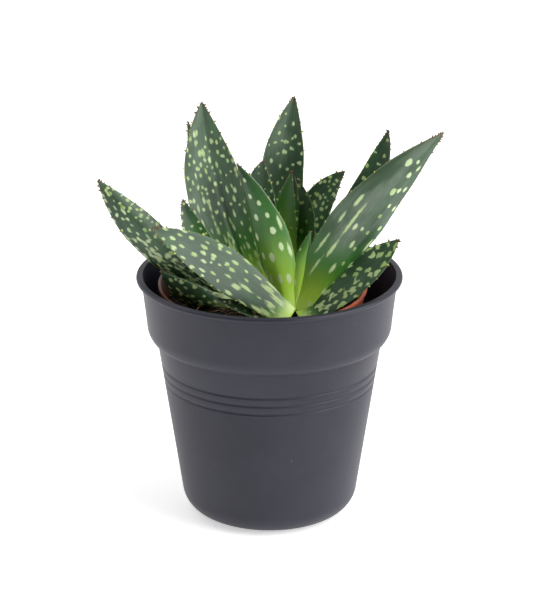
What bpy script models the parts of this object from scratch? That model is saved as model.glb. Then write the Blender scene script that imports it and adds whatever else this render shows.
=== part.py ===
"""A spotted aloe in a thin nursery pot, which stands loose in a wider dark plastic pot.

Sizes are in metres, +Z is up, and the origin is the centre of the outer pot's flat underside.
Three young plants share the soil. Each has a short stem, and its leaves are lofts along a bent midrib.
"""

import math
from collections import namedtuple

import bmesh
import bpy
from mathutils import Matrix, Vector

MM = 0.001

# Outer pot
POT_HEIGHT = 122 * MM
RIM_RADIUS = 65 * MM
LIP_WIDTH = 2.5 * MM
LIP_THICKNESS = 2.2 * MM
POT_WALL = 0.9 * MM
POT_FLOOR = 2.4 * MM
COLLAR_DEPTH = 24 * MM
COLLAR_DRAFT = 2.5 * MM
SHOULDER_WIDTH = 4.8 * MM
SHOULDER_DROP = 8 * MM
BODY_DRAFT = 13.7 * MM
BASE_FILLET = 12.9 * MM
RING_GROOVES = 3
RING_GROOVE_TOP = 44.7 * MM
RING_GROOVE_PITCH = 4.4 * MM
RING_GROOVE_WIDTH = 1.6 * MM
RING_GROOVE_DEPTH = 0.45 * MM
DRAIN_COUNT = 6
DRAIN_FIRST_ANGLE = math.radians(-126)
DRAIN_CHANNEL_WIDTH = 10 * MM
DRAIN_CHANNEL_DEPTH = 1.1 * MM
DRAIN_CHANNEL_START = 14 * MM
DRAIN_HOLE_RADIUS = 3.5 * MM
DRAIN_HOLE_INSET = 8 * MM
POT_SEGMENTS = 56

# Inner nursery pot, which leans a little in the outer one
INNER_RIM_DROP = 4.8 * MM
INNER_RIM_GAP = 11.1 * MM
INNER_BASE_GAP = 8 * MM
INNER_WALL = 0.8 * MM
INNER_FLOOR = 1.2 * MM
INNER_BEAD_WIDTH = 0.7 * MM
INNER_BEAD_HEIGHT = 1.6 * MM
INNER_BASE_FILLET = 3 * MM
INNER_SIDE_SHIFT = -3.3 * MM
INNER_LEAN_SIDEWAYS = math.radians(0.5)
INNER_LEAN_FORWARD = math.radians(2.5)
INNER_HOLES = 6
INNER_HOLE_RADIUS = 3 * MM
INNER_HOLE_INSET = 9 * MM
INNER_SEGMENTS = 44

# Soil
SOIL_BELOW_RIM = 11.6 * MM
SOIL_CROWN = 1.5 * MM
SOIL_SEGMENTS = 40

# Plants
STEM_RADIUS = 5.5 * MM
STEM_TOP_RADIUS = 3.5 * MM
STEM_ABOVE_SOIL = 5 * MM
STEM_IN_SOIL = 14 * MM
STEM_SEGMENTS = 16
LEAF_STATIONS = 11
LEAF_HALF_POINTS = 5
LEAF_OVER_RIM = 0.5 * MM
RIM_CHECKS = 6
LIFT_STEP = 1 * MM
MOST_LIFT = 60 * MM

GAP = 0.3 * MM

PLASTIC_DARK = ("matte_anthracite_plastic", (0.060, 0.060, 0.066), 0.45)
PLASTIC_TERRACOTTA = ("terracotta_plastic", (0.48, 0.115, 0.055), 0.5)
PEAT = ("peat_soil", (0.028, 0.018, 0.012), 0.95)
STEM_GREEN = ("pale_stem", (0.30, 0.42, 0.10), 0.6)
LEAF_GREEN = ("aloe_leaf", (0.045, 0.110, 0.055), 0.42)

Leaf = namedtuple("Leaf", "name plant root bend tip width thickness clasp widest taper cup faces")

# Where each plant stands on the soil, from the pot's axis, in shares of the inner rim's radius
PLANTS = {
    "front_plant": (0.198, -0.178),
    "left_plant": (-0.277, 0.099),
    "back_plant": (0.178, 0.475),
}

# root, bend and tip are in millimetres from the plant's foot on the soil: the midrib leaves the root
# towards the bend and ends at the tip. clasp is the root's share of the width, widest is where along
# the leaf it is broadest, a higher taper keeps it broad for longer, cup lifts the margins, and faces
# is the way the upper surface looks. Inner leaves come first, because outer ones are cut round them.
LEAVES = [
    Leaf("heart_leaf", "front_plant", (2, -4, 5), (5, -7, 27), (10, -4, 43),
         11, 4.0, 0.75, 0.30, 1.5, 0.25, (-0.2, 1.0, 0.2)),
    Leaf("front_leaf", "front_plant", (-1, -4, 3), (-7, -10, 46), (-26, 3, 75),
         18, 6.0, 0.65, 0.45, 1.7, 0.15, (0.2, 1.0, 0.3)),
    Leaf("right_leaf_large", "front_plant", (4, -4, 3), (34, -9, 56.5), (74, 4, 90),
         27, 7.0, 0.60, 0.40, 1.8, 0.20, (-0.3, 1.0, 0.0)),
    Leaf("left_leaf_forward", "front_plant", (-1, -13, 1), (-35, -19, 34), (-66, -21, 50),
         21, 7.0, 0.60, 0.45, 2.0, 0.10, (-0.1, -0.8, 0.7)),
    Leaf("right_leaf_low", "front_plant", (4, -8, 0.5), (29, -7, 16.5), (53, 1, 37),
         19.5, 5.0, 0.75, 0.45, 2.4, 0.10, (-0.2, -0.7, 0.7)),
    Leaf("front_leaf_low", "front_plant", (-6, -11, 1), (-26, -18, 8), (-37, -18, 14),
         8, 3.5, 0.70, 0.35, 1.6, 0.20, (0.2, -0.5, 0.8)),
    Leaf("left_leaf_small", "left_plant", (-1, -4, 4), (-24, -9, 34), (-28, -5, 55),
         13, 4.0, 0.70, 0.40, 2.1, 0.25, (0.3, -1.0, 0.2)),
    Leaf("left_leaf_tall", "left_plant", (7, 0, 3), (-19, 4, 55), (-18.5, 5, 101),
         27, 7.0, 0.60, 0.50, 1.9, 0.25, (0.2, -1.0, 0.3)),
    Leaf("left_leaf_behind", "left_plant", (-2, 4, 3), (-19.3, 13, 50), (-25.8, 17, 88),
         13, 5.0, 0.70, 0.40, 1.7, 0.25, (0.2, -1.0, 0.2)),
    Leaf("left_leaf_far", "left_plant", (-4, -4, 3), (-43, -5, 26.5), (-69.3, 0, 63),
         17.5, 6.0, 0.60, 0.50, 2.4, 0.15, (0.1, 1.0, -0.3)),
    Leaf("left_leaf_low", "left_plant", (-5, -6, 1), (-28, -18, 5), (-39, -10, 20),
         14, 5.0, 0.70, 0.45, 1.9, 0.20, (0.3, 0.9, 0.1)),
    Leaf("back_heart_leaf", "back_plant", (-1, -4, 5), (-3, -9, 38), (2, -8, 64),
         14, 4.0, 0.75, 0.35, 1.8, 0.30, (-0.3, -0.9, 0.2)),
    Leaf("back_leaf_folded", "back_plant", (2, -4, 5), (19, -12, 40), (3, -11, 62),
         12, 4.0, 0.75, 0.40, 1.8, 0.45, (-0.6, -0.7, 0.3)),
    Leaf("back_leaf_toothed", "back_plant", (-4, -3, 4), (-20, -6, 45), (-12, -4, 68),
         17, 5.0, 0.70, 0.50, 2.3, 0.20, (0.3, -1.0, 0.2)),
    Leaf("back_leaf_tall", "back_plant", (-2, 2, 3), (-7.2, 8, 51), (3.4, 14, 95.5),
         21.5, 6.5, 0.60, 0.50, 2.3, 0.25, (0.0, -1.0, 0.25)),
    Leaf("back_leaf_right", "back_plant", (3, 1, 4), (10, 6, 44), (28.5, 10, 58),
         17, 5.0, 0.65, 0.48, 1.8, 0.20, (-0.2, -0.8, 0.5)),
    Leaf("back_leaf_far_right", "back_plant", (5, 2, 3), (45, 4, 48), (49.2, 8, 80),
         14, 5.0, 0.65, 0.50, 2.2, 0.25, (-0.3, -0.9, 0.3)),
    Leaf("rear_leaf_left", "back_plant", (-6, 4, 3), (-22, 20, 24), (-38, 29, 38),
         17, 6.0, 0.65, 0.40, 1.8, 0.20, (0.4, -0.4, 0.8)),
    Leaf("rear_leaf_middle", "back_plant", (0, 6, 3), (-3, 28, 28), (-8, 42, 50),
         18, 6.0, 0.65, 0.40, 1.8, 0.20, (0.1, -0.6, 0.8)),
    Leaf("rear_leaf_right", "back_plant", (6, 5, 3), (22, 18, 24), (40, 24, 35),
         17, 6.0, 0.65, 0.40, 1.8, 0.20, (-0.4, -0.4, 0.8)),
]

# Sizes worked out from the ones above
COLLAR_TOP_RADIUS = RIM_RADIUS - LIP_WIDTH
COLLAR_BOTTOM_RADIUS = COLLAR_TOP_RADIUS - COLLAR_DRAFT
COLLAR_BOTTOM_HEIGHT = POT_HEIGHT - COLLAR_DEPTH
STEP_RADIUS = COLLAR_BOTTOM_RADIUS - SHOULDER_WIDTH
STEP_HEIGHT = COLLAR_BOTTOM_HEIGHT - SHOULDER_DROP
BODY_SLOPE = BODY_DRAFT / STEP_HEIGHT
FLAT_BASE_RADIUS = (
    STEP_RADIUS - BODY_DRAFT + BODY_SLOPE * BASE_FILLET - BASE_FILLET * math.hypot(1, BODY_SLOPE)
)
RIM_INSIDE_RADIUS = COLLAR_TOP_RADIUS - POT_WALL
INNER_RIM_RADIUS = RIM_INSIDE_RADIUS - INNER_RIM_GAP
INNER_BASE_RADIUS = STEP_RADIUS - BODY_DRAFT - POT_WALL - INNER_BASE_GAP
INNER_LEAN = math.hypot(INNER_LEAN_SIDEWAYS, INNER_LEAN_FORWARD)
INNER_BASE_HEIGHT = POT_FLOOR + GAP + INNER_BASE_RADIUS * math.sin(INNER_LEAN)
INNER_HEIGHT = POT_HEIGHT - INNER_RIM_DROP - INNER_BASE_HEIGHT
INNER_RIM_HEIGHT = INNER_BASE_HEIGHT + INNER_HEIGHT
SOIL_TOP = INNER_HEIGHT - SOIL_BELOW_RIM
SOIL_HEIGHT = INNER_BASE_HEIGHT + SOIL_TOP
INNER_BASE_SIDE_SHIFT = INNER_SIDE_SHIFT - INNER_HEIGHT * math.sin(INNER_LEAN_SIDEWAYS)
INNER_BASE_BACK_SHIFT = INNER_HEIGHT * math.sin(INNER_LEAN_FORWARD)


def clear_scene():
    for thing in list(bpy.data.objects):
        bpy.data.objects.remove(thing, do_unlink=True)


def new_collection(name):
    collection = bpy.data.collections.new(name)
    bpy.context.scene.collection.children.link(collection)
    return collection


def new_material(name, colour, roughness):
    material = bpy.data.materials.get(name)
    if material is None:
        material = bpy.data.materials.new(name)
        material.use_nodes = True
        surface = material.node_tree.nodes["Principled BSDF"]
        surface.inputs["Base Color"].default_value = (*colour, 1)
        surface.inputs["Roughness"].default_value = roughness
        surface.inputs["Metallic"].default_value = 0
    return material


def add_object(name, mesh, finish=None):
    thing = bpy.data.objects.new(name, mesh)
    if finish:
        mesh.materials.append(new_material(*finish))
        parts.objects.link(thing)
    else:
        thing.hide_render = True
        thing.display_type = "WIRE"
        cutters.objects.link(thing)
    return thing


def turned(name, profile, segments, finish):
    """A solid of revolution: the profile runs up the inside and down the outside."""
    mesh = bpy.data.meshes.new(name)
    edges = [(i, i + 1) for i in range(len(profile) - 1)]
    mesh.from_pydata([(radius, 0, height) for radius, height in profile], edges, [])
    thing = add_object(name, mesh, finish)
    screw = thing.modifiers.new("Turn", "SCREW")
    screw.axis = "Z"
    screw.steps = segments
    screw.render_steps = segments
    screw.use_merge_vertices = True
    screw.merge_threshold = 0.00001
    screw.use_smooth_shade = True
    return thing


def cut(thing, cutter):
    difference = thing.modifiers.new("Cut " + cutter.name, "BOOLEAN")
    difference.operation = "DIFFERENCE"
    difference.object = cutter
    return difference


def arc(centre_radius, centre_height, width, height, start, end, steps):
    """Points on an ellipse in the profile's plane, from one angle to another."""
    points = []
    for step in range(steps + 1):
        angle = math.radians(start + (end - start) * step / steps)
        points.append((centre_radius + width * math.cos(angle), centre_height + height * math.sin(angle)))
    return points


def body_radius(height):
    """The outer pot's outside radius on its straight tapered body."""
    return STEP_RADIUS - (STEP_HEIGHT - height) * BODY_SLOPE


def outer_side(steps):
    """The outer pot's outside from under the lip to the flat base, without the ring grooves."""
    collar = [(COLLAR_TOP_RADIUS, POT_HEIGHT - LIP_THICKNESS)]
    shoulder = arc(STEP_RADIUS, COLLAR_BOTTOM_HEIGHT, SHOULDER_WIDTH, SHOULDER_DROP, 0, -76, steps)
    step = [(STEP_RADIUS, STEP_HEIGHT)]
    start = -math.degrees(math.atan(BODY_SLOPE))
    base = arc(FLAT_BASE_RADIUS, BASE_FILLET, BASE_FILLET, BASE_FILLET, start, -90, steps + 1)
    return collar + shoulder + step, base


def ring_grooves():
    points = []
    for ring in range(RING_GROOVES):
        middle = POT_HEIGHT - RING_GROOVE_TOP - ring * RING_GROOVE_PITCH
        for offset, depth in ((0.5, 0), (0, 1), (-0.5, 0)):
            height = middle + offset * RING_GROOVE_WIDTH
            points.append((body_radius(height) - depth * RING_GROOVE_DEPTH, height))
    return points


def inset(points, distance):
    """The points moved inwards, square to the line that they make."""
    moved = []
    for index, (radius, height) in enumerate(points):
        before = points[max(index - 1, 0)]
        after = points[min(index + 1, len(points) - 1)]
        along = Vector((after[0] - before[0], after[1] - before[1])).normalized()
        moved.append((radius + along.y * distance, height - along.x * distance))
    return moved


def outer_pot_inside():
    upper, base = outer_side(3)
    wall = [point for point in inset(upper + base, POT_WALL) if point[1] > POT_FLOOR]
    top = (RIM_INSIDE_RADIUS, POT_HEIGHT - 0.3 * LIP_THICKNESS)
    return [top] + wall[1:]


def lip():
    """Over the rim, from the inside edge to the underside of the lip."""
    half = LIP_THICKNESS / 2
    outside = arc(RIM_RADIUS - half, POT_HEIGHT - half, half, half, 90, -90, 5)
    return [(RIM_INSIDE_RADIUS + 0.3 * LIP_THICKNESS, POT_HEIGHT)] + outside


def make_outer_pot():
    upper, base = outer_side(5)
    inside = outer_pot_inside()
    floor = (inside[-1][0] - 1.5 * MM, POT_FLOOR)
    profile = [(0, POT_FLOOR), floor] + inside[::-1] + lip() + upper + ring_grooves() + base + [(0, 0)]
    pot = turned("outer_pot", profile, POT_SEGMENTS, PLASTIC_DARK)
    for number in range(DRAIN_COUNT):
        angle = DRAIN_FIRST_ANGLE + number * math.tau / DRAIN_COUNT
        cut(pot, drain_channel(number, angle))
        cut(pot, drain_hole(number, angle))


def drain_channel(number, angle):
    """A shallow channel under the floor, open at the pot's edge."""
    length = FLAT_BASE_RADIUS + BASE_FILLET - DRAIN_CHANNEL_START
    mesh = bpy.data.meshes.new("channel")
    shape = bmesh.new()
    bmesh.ops.create_cube(shape, size=1)
    bmesh.ops.scale(shape, vec=(length, DRAIN_CHANNEL_WIDTH, 2 * DRAIN_CHANNEL_DEPTH), verts=shape.verts)
    bmesh.ops.translate(shape, vec=(DRAIN_CHANNEL_START + length / 2, 0, 0), verts=shape.verts)
    bmesh.ops.rotate(shape, cent=(0, 0, 0), matrix=Matrix.Rotation(angle, 3, "Z"), verts=shape.verts)
    shape.to_mesh(mesh)
    shape.free()
    return add_object(f"channel_cutter_{number}", mesh)


def round_cutter(name, radius, place, height):
    mesh = bpy.data.meshes.new(name)
    shape = bmesh.new()
    bmesh.ops.create_cone(
        shape, cap_ends=True, segments=16, radius1=radius, radius2=radius, depth=height,
        matrix=Matrix.Translation(place),
    )
    shape.to_mesh(mesh)
    shape.free()
    return add_object(name, mesh)


def drain_hole(number, angle):
    radius = FLAT_BASE_RADIUS - DRAIN_HOLE_INSET
    place = (radius * math.cos(angle), radius * math.sin(angle), POT_FLOOR)
    return round_cutter(f"drain_cutter_{number}", DRAIN_HOLE_RADIUS, place, 3 * POT_FLOOR)


def inner_radius(height):
    """The inner pot's outside radius at a height above its own base."""
    return INNER_BASE_RADIUS + (INNER_RIM_RADIUS - INNER_BASE_RADIUS) * height / INNER_HEIGHT


def make_inner_pot():
    bead = INNER_RIM_RADIUS + INNER_BEAD_WIDTH
    bead_low = INNER_HEIGHT - INNER_BEAD_HEIGHT
    fillet = INNER_BASE_FILLET
    outside = arc(inner_radius(fillet) - fillet, fillet, fillet, fillet, 0, -90, 4)
    profile = [
        (0, INNER_FLOOR),
        (INNER_BASE_RADIUS - fillet, INNER_FLOOR),
        (inner_radius(fillet) - INNER_WALL, fillet),
        (inner_radius(SOIL_TOP) - INNER_WALL, SOIL_TOP),
        (INNER_RIM_RADIUS - INNER_WALL, INNER_HEIGHT - 0.2 * INNER_BEAD_HEIGHT),
        (INNER_RIM_RADIUS - 0.6 * INNER_WALL, INNER_HEIGHT),
        (bead - 0.3 * INNER_BEAD_WIDTH, INNER_HEIGHT),
        (bead, INNER_HEIGHT - 0.2 * INNER_BEAD_HEIGHT),
        (bead, bead_low),
        (inner_radius(bead_low), bead_low - 0.3 * MM),
        *outside,
        (0, 0),
    ]
    pot = turned("inner_pot", profile, INNER_SEGMENTS, PLASTIC_TERRACOTTA)
    for number in range(INNER_HOLES):
        angle = number * math.tau / INNER_HOLES
        radius = INNER_BASE_RADIUS - INNER_HOLE_INSET
        place = (radius * math.cos(angle), radius * math.sin(angle), 0)
        hole = round_cutter(f"inner_hole_cutter_{number}", INNER_HOLE_RADIUS, place, 4 * INNER_FLOOR)
        hole.parent = inner_stand
        cut(pot, hole)
    pot.parent = inner_stand


def make_soil():
    """The root ball fills the inner pot up to a low dome."""
    base = INNER_FLOOR + GAP
    corner = INNER_BASE_FILLET + GAP
    clear = INNER_WALL + GAP
    dome = [
        (share * (inner_radius(SOIL_TOP) - clear), SOIL_TOP + SOIL_CROWN * (1 - share**2))
        for share in (0, 0.25, 0.5, 0.75, 1)
    ]
    profile = dome + [
        (inner_radius(corner) - clear, corner),
        (INNER_BASE_RADIUS - corner, base),
        (0, base),
    ]
    soil = turned("soil", profile, SOIL_SEGMENTS, PEAT)
    soil.parent = inner_stand
    return soil


def plant_foot(plant):
    x, y = PLANTS[plant]
    return Vector((x * INNER_RIM_RADIUS, y * INNER_RIM_RADIUS, SOIL_HEIGHT))


def stem_mesh(plant, grow):
    """A short stem, wider at the soil than at its top."""
    mesh = bpy.data.meshes.new(plant + "_stem")
    shape = bmesh.new()
    height = STEM_IN_SOIL + STEM_ABOVE_SOIL + 2 * grow
    middle = (STEM_ABOVE_SOIL - STEM_IN_SOIL) / 2
    bmesh.ops.create_cone(
        shape, cap_ends=True, segments=STEM_SEGMENTS, radius1=STEM_RADIUS + grow,
        radius2=STEM_TOP_RADIUS + grow, depth=height,
        matrix=Matrix.Translation(plant_foot(plant) + Vector((0, 0, middle))),
    )
    shape.to_mesh(mesh)
    shape.free()
    return mesh


def leaf_width(leaf, along):
    """Half the leaf's width at a share of its length: a clasping root, a broad middle, a pointed tip."""
    if along < leaf.widest:
        share = along / leaf.widest
        share = share * share * (3 - 2 * share)
        return leaf.width / 2 * MM * (leaf.clasp + (1 - leaf.clasp) * share)
    share = (along - leaf.widest) / (1 - leaf.widest)
    return leaf.width / 2 * MM * (1 - share**leaf.taper)


def leaf_thickness(leaf, along):
    return leaf.thickness * MM * (1 - 0.75 * along) * (1 - along**6)


def midrib(leaf, along, lift):
    """Point and direction on the quadratic curve through root, bend and tip."""
    root = Vector(leaf.root) * MM
    bend = Vector(leaf.bend) * MM + Vector((0, 0, lift))
    tip = Vector(leaf.tip) * MM + Vector((0, 0, 0.5 * lift))
    point = (1 - along) ** 2 * root + 2 * along * (1 - along) * bend + along**2 * tip
    direction = (1 - along) * (bend - root) + along * (tip - bend)
    return plant_foot(leaf.plant) + point, direction.normalized()


def leaf_ring(leaf, along, lift):
    """One cross-section: over the upper surface from the left margin to the right, and back underneath."""
    centre, direction = midrib(leaf, along, lift)
    across = direction.cross(Vector(leaf.faces)).normalized()
    upward = across.cross(direction)
    half = leaf_width(leaf, along)
    thick = leaf_thickness(leaf, along)
    ring = []
    for step in range(2 * LEAF_HALF_POINTS):
        angle = math.pi * step / LEAF_HALF_POINTS
        side = math.cos(angle)
        rise = leaf.cup * half * side * side
        belly = 0.25 * thick if angle < math.pi else -0.75 * thick
        rise += belly * (1 - side * side) ** 0.8
        ring.append(centre + across * half * side + upward * rise)
    return ring


def rim_height(point):
    """How high a leaf's surface has to be at this place to stay over the rims, or None away from them."""
    from_outer = math.hypot(point.x, point.y)
    from_inner = math.hypot(point.x - INNER_SIDE_SHIFT, point.y)
    if RIM_INSIDE_RADIUS - LEAF_OVER_RIM < from_outer < RIM_RADIUS + LEAF_OVER_RIM:
        return POT_HEIGHT + LEAF_OVER_RIM
    inner_edge = INNER_RIM_RADIUS + INNER_BEAD_WIDTH
    if inner_edge - INNER_WALL - 2 * LEAF_OVER_RIM < from_inner < inner_edge + LEAF_OVER_RIM:
        sideways = -point.x * math.sin(INNER_LEAN_SIDEWAYS)
        forward = point.y * math.sin(INNER_LEAN_FORWARD)
        return INNER_RIM_HEIGHT + sideways + forward + LEAF_OVER_RIM
    return None


def clears_rims(leaf, lift):
    """True if no point of the leaf's surface is below a rim that it crosses."""
    checks = LEAF_STATIONS * RIM_CHECKS
    for check in range(checks):
        for point in leaf_ring(leaf, check / checks, lift):
            limit = rim_height(point)
            if limit is not None and point.z < limit:
                return False
    return True


def leaf_rings(leaf):
    """The leaf's cross-sections, with the leaf bent up as far as it needs to lie over the rims."""
    lift = 0
    while lift < MOST_LIFT and not clears_rims(leaf, lift):
        lift += LIFT_STEP
    rings = [leaf_ring(leaf, station / LEAF_STATIONS, lift) for station in range(LEAF_STATIONS)]
    return rings, midrib(leaf, 1, lift)[0]


def leaf_mesh(leaf, grow):
    rings, tip = leaf_rings(leaf)
    mesh = bpy.data.meshes.new(leaf.name)
    shape = bmesh.new()
    levels = [[shape.verts.new(point) for point in ring] for ring in rings]
    end = shape.verts.new(tip)
    count = len(levels[0])
    for low, high in zip(levels, levels[1:]):
        for index in range(count):
            after = (index + 1) % count
            shape.faces.new((low[index], low[after], high[after], high[index]))
    for index in range(count):
        shape.faces.new((levels[-1][index], levels[-1][(index + 1) % count], end))
    shape.faces.new(levels[0][::-1])
    bmesh.ops.triangulate(shape, faces=[face for face in shape.faces if len(face.verts) > 3])
    bmesh.ops.recalc_face_normals(shape, faces=shape.faces)
    if grow:
        shape.normal_update()
        moves = [(vert, vert.normal * grow * min(vert.calc_shell_factor(), 2.5)) for vert in shape.verts]
        for vert, move in moves:
            vert.co += move
    for face in shape.faces:
        face.smooth = True
    shape.to_mesh(mesh)
    shape.free()
    return mesh


def box_of(thing):
    corners = [vert.co for vert in thing.data.vertices]
    low = [min(corner[axis] for corner in corners) for axis in range(3)]
    high = [max(corner[axis] for corner in corners) for axis in range(3)]
    return low, high


def near(thing, other):
    (low, high), (other_low, other_high) = box_of(thing), box_of(other)
    return all(low[axis] < other_high[axis] and other_low[axis] < high[axis] for axis in range(3))


def make_plants(soil):
    """Stems first, then the leaves from the inside out, each cut round what is already there."""
    standing = []
    for plant in PLANTS:
        add_object(plant + "_stem", stem_mesh(plant, 0), STEM_GREEN)
        standing.append(add_object(plant + "_stem_cutter", stem_mesh(plant, GAP)))
    for leaf in LEAVES:
        thing = add_object(leaf.name, leaf_mesh(leaf, 0), LEAF_GREEN)
        for cutter in standing:
            if near(thing, cutter):
                cut(thing, cutter)
        standing.append(add_object(leaf.name + "_cutter", leaf_mesh(leaf, GAP)))
    for cutter in standing:
        if box_of(cutter)[0][2] < SOIL_HEIGHT + 2 * SOIL_CROWN:
            cut(soil, cutter)


clear_scene()
parts = new_collection("potted_aloe")
cutters = new_collection("cutters")
cutters.hide_render = True

inner_stand = bpy.data.objects.new("inner_stand", None)
inner_stand.location = (INNER_BASE_SIDE_SHIFT, INNER_BASE_BACK_SHIFT, INNER_BASE_HEIGHT)
inner_stand.rotation_euler = (INNER_LEAN_FORWARD, INNER_LEAN_SIDEWAYS, 0)
parts.objects.link(inner_stand)
bpy.context.view_layer.update()

make_outer_pot()
make_inner_pot()
make_plants(make_soil())
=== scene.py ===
import math
import random

import bmesh
import bpy
import numpy as np
from mathutils import Euler, Matrix, Vector, noise


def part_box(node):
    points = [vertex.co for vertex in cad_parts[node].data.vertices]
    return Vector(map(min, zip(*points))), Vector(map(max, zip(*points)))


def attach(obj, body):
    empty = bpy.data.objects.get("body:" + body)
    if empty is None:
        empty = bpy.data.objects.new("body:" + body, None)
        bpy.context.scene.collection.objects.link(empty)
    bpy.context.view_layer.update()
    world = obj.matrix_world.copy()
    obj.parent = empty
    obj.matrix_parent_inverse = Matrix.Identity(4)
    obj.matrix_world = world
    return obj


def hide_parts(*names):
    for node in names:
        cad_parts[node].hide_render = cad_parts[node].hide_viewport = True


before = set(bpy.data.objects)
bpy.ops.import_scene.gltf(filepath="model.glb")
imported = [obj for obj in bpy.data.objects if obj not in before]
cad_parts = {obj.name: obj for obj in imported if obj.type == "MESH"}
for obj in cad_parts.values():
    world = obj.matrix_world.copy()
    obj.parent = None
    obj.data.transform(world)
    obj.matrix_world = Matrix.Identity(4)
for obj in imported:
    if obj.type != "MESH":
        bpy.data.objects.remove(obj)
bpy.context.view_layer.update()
mm = 0.001
print("frame loaded:", len(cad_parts), "nodes")


class Wire:
    # a node's output that can be used in sums: each sum adds its own Math node
    def __init__(self, tree, socket=None):
        self.tree = tree
        self.socket = socket

    def add(self, kind, settings=None, inputs=None, output=0):
        node = self.tree.nodes.new("ShaderNode" + kind)
        for key, value in (settings or {}).items():
            if key == "stops":
                ramp = node.color_ramp.elements
                while len(ramp) < len(value):
                    ramp.new(0.5)
                for stop, (place, colour) in zip(ramp, value):
                    stop.position = place
                    stop.color = (*colour, 1)
            else:
                setattr(node, key, value)
        for key, value in (inputs or {}).items():
            if isinstance(value, Wire):
                self.tree.links.new(value.socket, node.inputs[key])
            else:
                node.inputs[key].default_value = value
        return Wire(self.tree, node.outputs[output])

    def sum(self, operation, first, second):
        return self.add("Math", {"operation": operation}, {0: first, 1: second})

    def __add__(self, other):
        return self.sum("ADD", self, other)

    def __radd__(self, other):
        return self.sum("ADD", other, self)

    def __sub__(self, other):
        return self.sum("SUBTRACT", self, other)

    def __rsub__(self, other):
        return self.sum("SUBTRACT", other, self)

    def __mul__(self, other):
        return self.sum("MULTIPLY", self, other)

    def __rmul__(self, other):
        return self.sum("MULTIPLY", other, self)

    def clamped(self):
        return self.add("Clamp", {}, {"Value": self})

    def step(self, low, high):
        # 0 at low, 1 at high, smooth between them
        settings = {"interpolation_type": "SMOOTHSTEP"}
        return self.add("MapRange", settings, {"Value": self, "From Min": low, "From Max": high})

    def mix(self, first, second):
        # this wire is the factor between two colours
        colours = {0: self, 6: asColour(first), 7: asColour(second)}
        return self.add("Mix", {"data_type": "RGBA"}, colours, 2)

    def noise(self, scale, detail=2.0, rough=0.5):
        # this wire is the place
        values = {"Vector": self, "Scale": scale, "Detail": detail, "Roughness": rough}
        return self.add("TexNoise", {"noise_dimensions": "3D"}, values)

    def stretched(self, x, y, z):
        return self.add("VectorMath", {"operation": "MULTIPLY"}, {0: self, 1: (x, y, z)})


def asColour(value):
    return value if isinstance(value, Wire) else (*value, 1)


def startMaterial(name):
    material = bpy.data.materials.new(name)
    material.use_nodes = True
    return material, Wire(material.node_tree)


def setSurface(material, colour, roughness, height=None, bump=(0.3, 0.0003), **values):
    # varying values are links, and what is the same all over is set on the shader
    tree = material.node_tree
    surface = tree.nodes["Principled BSDF"]
    links = {"Base Color": colour, "Roughness": roughness}
    if height:
        strength, distance = bump
        inputs = {"Height": height, "Strength": strength, "Distance": distance}
        links["Normal"] = height.add("Bump", {}, inputs)
    for key, value in links.items():
        if isinstance(value, Wire):
            tree.links.new(value.socket, surface.inputs[key])
        else:
            surface.inputs[key].default_value = value
    for key, value in values.items():
        surface.inputs[key.replace("_", " ")].default_value = value


def addPiece(name, mesh, material, nodes=()):
    piece = bpy.data.objects.new(name, mesh)
    bpy.context.scene.collection.objects.link(piece)
    mesh.materials.append(material)
    mesh.shade_smooth()
    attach(piece, "root")
    if nodes:
        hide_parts(*nodes)
    return piece


def setValues(mesh, name, values):
    layer = mesh.attributes.new(name, "FLOAT", "POINT")
    layer.data.foreach_set("value", np.asarray(values, np.float32).ravel())


def smoothStep(value, low, high):
    share = np.clip((value - low) / (high - low), 0, 1)
    return share * share * (3 - 2 * share)


def turned(name, profile, segments):
    # a closed solid of revolution about Z, from a profile that runs from the axis round to the axis
    shape = bmesh.new()
    rings = []
    for radius, height in profile:
        if radius < 1e-7:
            rings.append([shape.verts.new((0, 0, height))])
            continue
        turns = [math.tau * index / segments for index in range(segments)]
        rings.append([shape.verts.new((radius * math.cos(a), radius * math.sin(a), height)) for a in turns])
    for low, high in zip(rings, rings[1:]):
        for index in range(segments):
            after = (index + 1) % segments
            corners = [low[index % len(low)], low[after % len(low)]]
            corners += [high[after % len(high)], high[index % len(high)]]
            corners = list(dict.fromkeys(corners))
            if len(corners) > 2:
                shape.faces.new(corners)
    bmesh.ops.recalc_face_normals(shape, faces=shape.faces)
    mesh = bpy.data.meshes.new(name)
    shape.to_mesh(mesh)
    shape.free()
    return mesh


def arc(centreRadius, centreHeight, width, height, start, end, steps):
    points = []
    for index in range(steps + 1):
        angle = math.radians(start + (end - start) * index / steps)
        points.append((centreRadius + width * math.cos(angle), centreHeight + height * math.sin(angle)))
    return points


def blendLine(points, reach, steps=4):
    # rounds each corner of an open line of (radius, height) points
    made = [points[0]]
    for before, corner, after in zip(points, points[1:], points[2:]):
        a, b, c = Vector(before), Vector(corner), Vector(after)
        near = min(reach, (a - b).length / 2, (c - b).length / 2)
        start = b + (a - b).normalized() * near
        end = b + (c - b).normalized() * near
        for index in range(steps + 1):
            share = index / steps
            made.append(tuple((1 - share) ** 2 * start + 2 * share * (1 - share) * b + share**2 * end))
    made.append(points[-1])
    return made


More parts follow.
